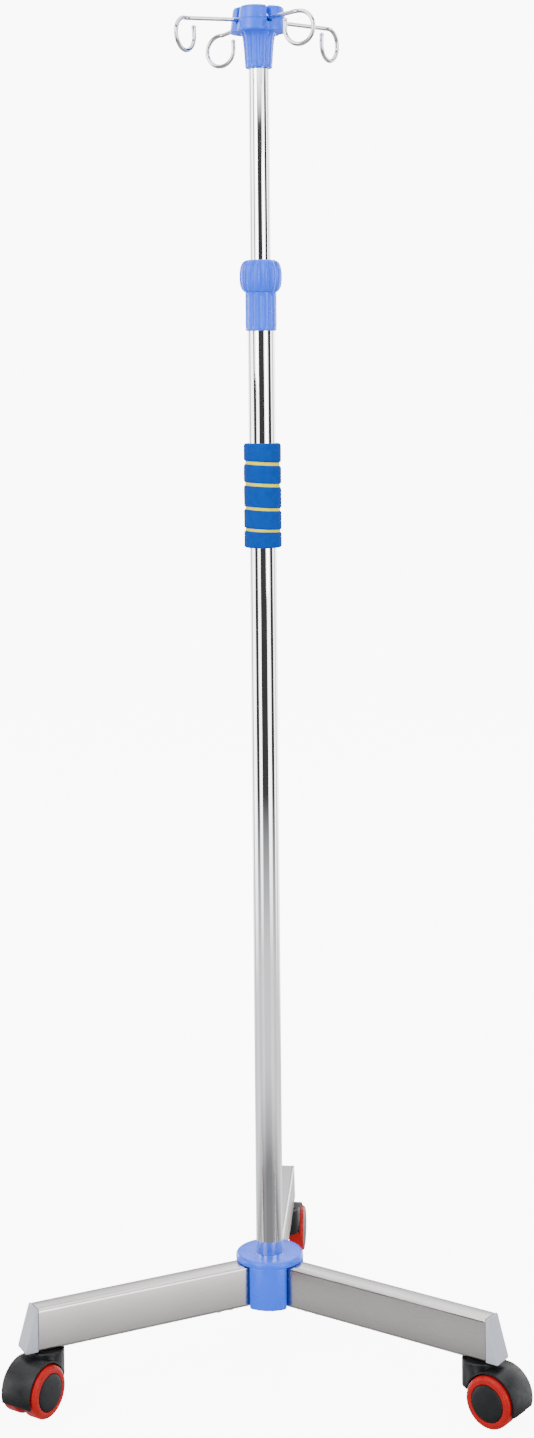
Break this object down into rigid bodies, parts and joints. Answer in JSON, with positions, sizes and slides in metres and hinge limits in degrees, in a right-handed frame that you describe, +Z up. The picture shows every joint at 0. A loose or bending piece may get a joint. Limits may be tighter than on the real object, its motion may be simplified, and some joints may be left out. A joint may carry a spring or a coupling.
{
  "type": "wheeled infusion stand",
  "caption": "Height-adjustable infusion stand: wheeled leg base, telescopic steel pole with twist lock and foam grip, and a head with fold-up bag hooks.",
  "frame": {"origin": "on the pole's axis at floor level", "axes": "+Z up along the pole, +Y along the rear leg, -Y towards the side between the two front legs"},
  "size_m": [0.4666, 0.425, 1.2626],
  "materials": {
    "blue_plastic": "moulded, soft gloss",
    "polished_tube": "polished stainless steel",
    "satin_tube": "satin stainless steel",
    "grey_plastic": "moulded, matt",
    "blue_foam": "closed-cell foam",
    "yellow_foam": "closed-cell foam",
    "red_tyre": "polyurethane",
    "black_plastic": "moulded nylon",
    "wheel_plastic": "moulded nylon",
    "white_acetal": "moulded acetal",
    "chromed_wire": "chromed wire",
    "zinc_steel": "zinc-plated"
  },
  "bodies": {
    "base": {"hub": "blue_plastic", "pole_plug": "zinc_steel", "pole_washer": "zinc_steel", "pole_bolt": "zinc_steel", "lower_tube": "polished_tube", "leg_tube_left": "satin_tube", "leg_tube_right": "satin_tube", "leg_tube_rear": "satin_tube", "leg_screws": "zinc_steel", "leg_end_cap_left": "grey_plastic", "leg_end_cap_right": "grey_plastic", "leg_end_cap_rear": "grey_plastic", "caster_nuts": "zinc_steel", "caster_stems": "zinc_steel", "stem_clips": "zinc_steel", "caster_washers": "black_plastic", "grip_core": "yellow_foam", "grip_bands": "blue_foam", "lock_collar": "blue_plastic"},
    "collet": {"lock_collet": "white_acetal"},
    "nut": {"lock_nut": "blue_plastic"},
    "guide": {"guide_bush": "white_acetal"},
    "mast": {"upper_tube": "polished_tube", "mast_foot": "white_acetal", "bush_ring": "zinc_steel", "head_body": "blue_plastic", "head_cap": "blue_plastic", "head_cap_screw": "zinc_steel", "head_grub_screw": "zinc_steel", "hook_pins": "zinc_steel"},
    "hook_1": {"hook_1": "chromed_wire"},
    "hook_2": {"hook_2": "chromed_wire"},
    "hook_3": {"hook_3": "chromed_wire"},
    "hook_4": {"hook_4": "chromed_wire"},
    "caster_left": {"caster_hood_left": "black_plastic", "axle_left": "zinc_steel"},
    "wheel_left_a": {"wheel_core_left_a": "wheel_plastic", "tyre_left_a": "red_tyre", "hub_cap_left_a": "black_plastic"},
    "wheel_left_b": {"wheel_core_left_b": "wheel_plastic", "tyre_left_b": "red_tyre", "hub_cap_left_b": "black_plastic"},
    "caster_right": {"caster_hood_right": "black_plastic", "axle_right": "zinc_steel"},
    "wheel_right_a": {"wheel_core_right_a": "wheel_plastic", "tyre_right_a": "red_tyre", "hub_cap_right_a": "black_plastic"},
    "wheel_right_b": {"wheel_core_right_b": "wheel_plastic", "tyre_right_b": "red_tyre", "hub_cap_right_b": "black_plastic"},
    "caster_rear": {"caster_hood_rear": "black_plastic", "axle_rear": "zinc_steel"},
    "wheel_rear_a": {"wheel_core_rear_a": "wheel_plastic", "tyre_rear_a": "red_tyre", "hub_cap_rear_a": "black_plastic"},
    "wheel_rear_b": {"wheel_core_rear_b": "wheel_plastic", "tyre_rear_b": "red_tyre", "hub_cap_rear_b": "black_plastic"}
  },
  "joints": [
    {"name": "mast_slide", "type": "slide", "parent": "base", "child": "guide", "axis": [0, 0, 1], "range_m": [-0.175, 0.65]},
    {"name": "mast_turn", "type": "hinge", "parent": "guide", "child": "mast", "pos_m": [0, 0, 1], "axis": [0, 0, 1], "continuous": true},
    {"name": "collet_lift", "type": "slide", "parent": "base", "child": "collet", "axis": [0, 0, 1], "range_m": [0, 0.0015]},
    {"name": "lock_turn", "type": "hinge", "parent": "collet", "child": "nut", "pos_m": [0, 0, 1.01], "axis": [0, 0, 1], "range_deg": [0, 270]},
    {"name": "hook_1_fold", "type": "hinge", "parent": "mast", "child": "hook_1", "pos_m": [0.00732, -0.01194, 1.2502], "axis": [-0.8526, -0.5225, 0], "range_deg": [0, 90]},
    {"name": "hook_2_fold", "type": "hinge", "parent": "mast", "child": "hook_2", "pos_m": [0.01194, 0.00732, 1.2502], "axis": [0.5225, -0.8526, 0], "range_deg": [0, 90]},
    {"name": "hook_3_fold", "type": "hinge", "parent": "mast", "child": "hook_3", "pos_m": [-0.00732, 0.01194, 1.2502], "axis": [0.8526, 0.5225, 0], "range_deg": [0, 90]},
    {"name": "hook_4_fold", "type": "hinge", "parent": "mast", "child": "hook_4", "pos_m": [-0.01194, -0.00732, 1.2502], "axis": [-0.5225, 0.8526, 0], "range_deg": [0, 90]},
    {"name": "swivel_left", "type": "hinge", "parent": "base", "child": "caster_left", "pos_m": [-0.19226, -0.111, 0.05], "axis": [0, 0, 1], "continuous": true},
    {"name": "spin_left_a", "type": "hinge", "parent": "caster_left", "child": "wheel_left_a", "pos_m": [-0.20171, -0.12806, 0.0225], "axis": [0.8746, -0.4848, 0], "continuous": true},
    {"name": "spin_left_b", "type": "hinge", "parent": "caster_left", "child": "wheel_left_b", "pos_m": [-0.20171, -0.12806, 0.0225], "axis": [0.8746, -0.4848, 0], "continuous": true},
    {"name": "swivel_right", "type": "hinge", "parent": "base", "child": "caster_right", "pos_m": [0.19226, -0.111, 0.05], "axis": [0, 0, 1], "continuous": true},
    {"name": "spin_right_a", "type": "hinge", "parent": "caster_right", "child": "wheel_right_a", "pos_m": [0.20842, -0.1219, 0.0225], "axis": [0.5592, 0.829, 0], "continuous": true},
    {"name": "spin_right_b", "type": "hinge", "parent": "caster_right", "child": "wheel_right_b", "pos_m": [0.20842, -0.1219, 0.0225], "axis": [0.5592, 0.829, 0], "continuous": true},
    {"name": "swivel_rear", "type": "hinge", "parent": "base", "child": "caster_rear", "pos_m": [0, 0.222, 0.05], "axis": [0, 0, 1], "continuous": true},
    {"name": "spin_rear_a", "type": "hinge", "parent": "caster_rear", "child": "wheel_rear_a", "pos_m": [0.00068, 0.24149, 0.0225], "axis": [-0.9994, 0.0349, 0], "continuous": true},
    {"name": "spin_rear_b", "type": "hinge", "parent": "caster_rear", "child": "wheel_rear_b", "pos_m": [0.00068, 0.24149, 0.0225], "axis": [-0.9994, 0.0349, 0], "continuous": true}
  ],
  "couplings": [
    {"joint": "lock_turn", "follows": "collet_lift", "rad_per_m": 3141.6}
  ]
}
